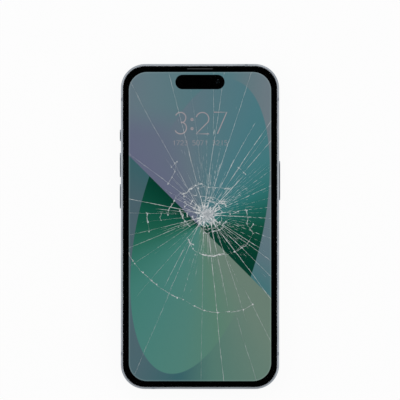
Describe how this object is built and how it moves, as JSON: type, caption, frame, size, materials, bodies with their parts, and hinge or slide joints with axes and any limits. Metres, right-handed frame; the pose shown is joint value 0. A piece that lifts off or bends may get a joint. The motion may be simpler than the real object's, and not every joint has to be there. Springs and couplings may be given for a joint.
{
  "type": "shattered screen phone",
  "caption": "Slab smartphone lying on its back, its front glass shattered in a web of cracks from one blow, with an aluminium rail, rear glass, side keys and a card tray.",
  "frame": {"origin": "centre of the outer face of the back glass, which the phone lies on", "axes": "+X to the right of the screen, +Y towards the earpiece end, +Z out of the screen"},
  "size_m": [0.0726, 0.147, 0.0078],
  "materials": {
    "rail_aluminium": "bead-blasted and anodised pale blue-grey, satin",
    "antenna_plastic": "moulded filler in the rail's colour, matte",
    "cover_glass": "polished, shattered into shards",
    "back_glass": "colour-infused glass, gloss",
    "lens_glass": "coated lens cover, gloss",
    "display_panel": "lit display layer, gloss",
    "black_plastic": "moulded black",
    "gasket_rubber": "die-cut foam adhesive",
    "sheet_steel": "stamped stainless, satin",
    "screw_steel": "plated steel",
    "acoustic_mesh": "fine woven mesh",
    "flash_lens": "frosted diffuser",
    "led_yellow": "phosphor",
    "circuit_board": "solder mask",
    "battery_foil": "laminated pouch in black wrap",
    "flex_film": "polyimide film",
    "copper": "enamelled copper winding",
    "magnet_metal": "nickel plated",
    "ferrite": "ferrite sheet"
  },
  "bodies": {
    "body": {"frame": "rail_aluminium", "antenna_band_left_upper": "antenna_plastic", "antenna_band_left_lower": "antenna_plastic", "antenna_band_right_upper": "antenna_plastic", "antenna_band_right_lower": "antenna_plastic", "antenna_band_top": "antenna_plastic", "antenna_band_bottom": "antenna_plastic", "cover_glass": "cover_glass", "display_ring": "black_plastic", "display_panel": "display_panel", "display_back_plate": "sheet_steel", "display_gasket": "gasket_rubber", "display_flex": "flex_film", "earpiece_mesh": "acoustic_mesh", "front_camera": "black_plastic", "proximity_sensor": "black_plastic", "earpiece_speaker": "black_plastic", "front_module_bracket": "sheet_steel", "back_glass": "back_glass", "main_lens_bezel": "rail_aluminium", "wide_lens_bezel": "rail_aluminium", "main_lens_window": "lens_glass", "wide_lens_window": "lens_glass", "flash_diffuser": "flash_lens", "flash_led": "led_yellow", "main_camera": "black_plastic", "wide_camera": "black_plastic", "camera_bracket": "sheet_steel", "camera_bracket_screws": "screw_steel", "logic_board": "circuit_board", "upper_shield_can": "sheet_steel", "lower_shield_can": "sheet_steel", "board_screws": "screw_steel", "battery": "battery_foil", "battery_flex": "flex_film", "charging_coil": "copper", "magnet_ring": "magnet_metal", "coil_shield": "ferrite", "haptic_motor": "sheet_steel", "loudspeaker": "black_plastic", "speaker_mesh": "acoustic_mesh", "microphone_mesh": "acoustic_mesh", "bottom_microphone": "sheet_steel", "dock_flex": "flex_film", "usb_shell": "sheet_steel", "usb_tongue": "black_plastic", "bottom_screws": "screw_steel", "left_key_flex": "flex_film", "right_key_flex": "flex_film", "action_switch": "sheet_steel", "volume_up_switch": "sheet_steel", "volume_down_switch": "sheet_steel", "power_switch": "sheet_steel", "sim_reader": "sheet_steel"},
    "action_button": {"action_button": "rail_aluminium"},
    "volume_up_button": {"volume_up_button": "rail_aluminium"},
    "volume_down_button": {"volume_down_button": "rail_aluminium"},
    "power_button": {"power_button": "rail_aluminium"},
    "sim_tray": {"sim_tray": "rail_aluminium"}
  },
  "joints": [
    {"name": "action_press", "type": "slide", "parent": "body", "child": "action_button", "axis": [1, 0, 0], "range_m": [0, 0.0003], "stiffness_N_per_m": 1500, "springref_m": -0.0004},
    {"name": "volume_up_press", "type": "slide", "parent": "body", "child": "volume_up_button", "axis": [1, 0, 0], "range_m": [0, 0.0003], "stiffness_N_per_m": 1500, "springref_m": -0.0004},
    {"name": "volume_down_press", "type": "slide", "parent": "body", "child": "volume_down_button", "axis": [1, 0, 0], "range_m": [0, 0.0003], "stiffness_N_per_m": 1500, "springref_m": -0.0004},
    {"name": "power_press", "type": "slide", "parent": "body", "child": "power_button", "axis": [-1, 0, 0], "range_m": [0, 0.0003], "stiffness_N_per_m": 1500, "springref_m": -0.0004},
    {"name": "tray_slide", "type": "slide", "parent": "body", "child": "sim_tray", "axis": [-1, 0, 0], "range_m": [0, 0.012]}
  ]
}
